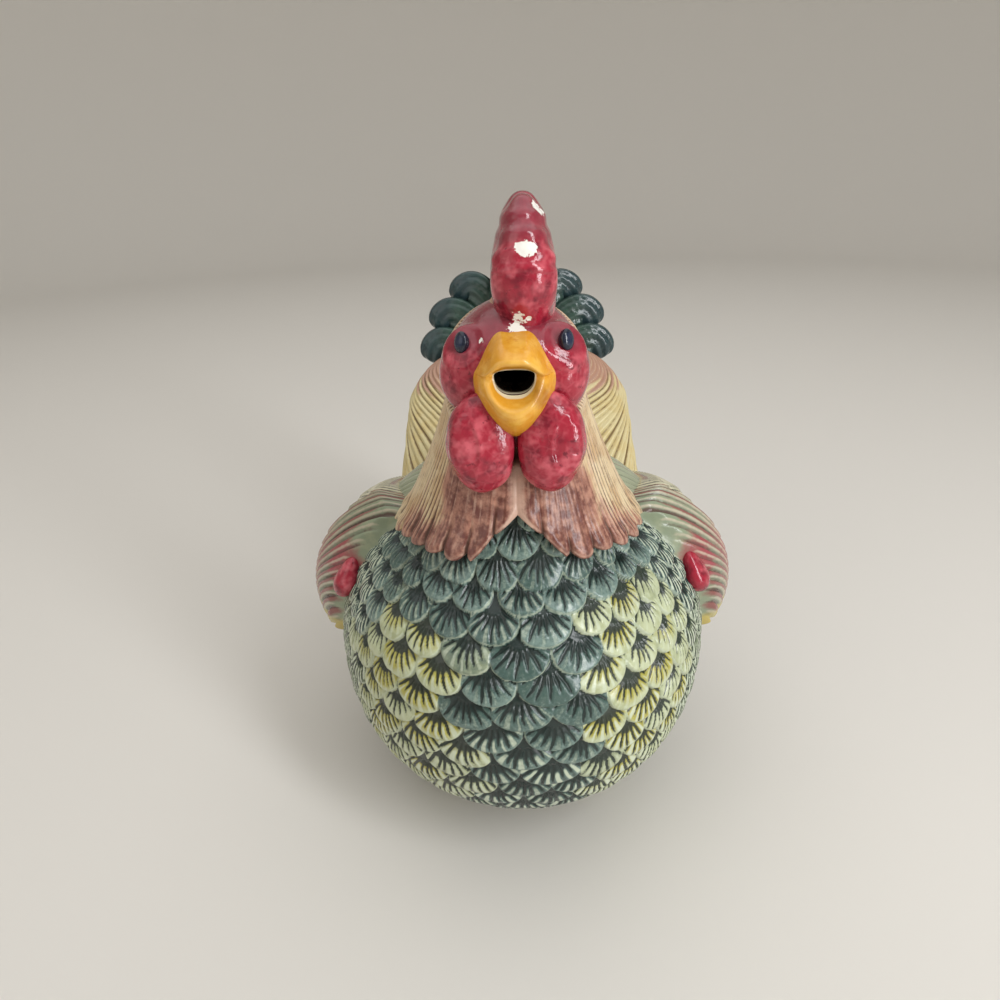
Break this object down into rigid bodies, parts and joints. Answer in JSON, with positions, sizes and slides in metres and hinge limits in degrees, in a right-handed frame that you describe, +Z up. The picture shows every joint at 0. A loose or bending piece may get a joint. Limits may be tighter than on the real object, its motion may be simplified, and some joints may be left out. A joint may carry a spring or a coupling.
{
  "type": "rooster creamer",
  "caption": "Glazed earthenware cream jug shaped as a standing rooster: hollow body filled through the back, open beak as the spout, tail feather looped down as the handle.",
  "frame": {"origin": "on the table under the middle of the jug's bounding box", "axes": "+Z up; the rooster faces -Y, so the beak pours towards -Y and the handle is at +Y; its own left side is +X"},
  "size_m": [0.1038, 0.1468, 0.1403],
  "materials": {
    "breast_glaze": "gloss",
    "bare_clay": "matte",
    "cream_glaze": "gloss",
    "hackle_glaze": "gloss",
    "red_glaze": "gloss",
    "amber_glaze": "gloss",
    "eye_glaze": "gloss",
    "wing_glaze": "gloss",
    "saddle_glaze": "gloss",
    "tail_glaze": "gloss"
  },
  "bodies": {
    "root": {"body_shell": "breast_glaze", "foot_ring": "bare_clay", "filler_lip": "cream_glaze", "neck_hackle": "hackle_glaze", "head_shell": "red_glaze", "upper_beak": "amber_glaze", "lower_beak": "amber_glaze", "comb": "red_glaze", "left_wattle": "red_glaze", "right_wattle": "red_glaze", "left_eye": "eye_glaze", "right_eye": "eye_glaze", "left_wing": "wing_glaze", "right_wing": "wing_glaze", "left_shoulder": "red_glaze", "right_shoulder": "red_glaze", "tail_saddle": "saddle_glaze", "left_sickle_upper": "tail_glaze", "left_sickle_middle": "tail_glaze", "left_sickle_lower": "tail_glaze", "right_sickle_upper": "tail_glaze", "right_sickle_middle": "tail_glaze", "right_sickle_lower": "tail_glaze", "tail_handle": "tail_glaze"}
  },
  "joints": []
}
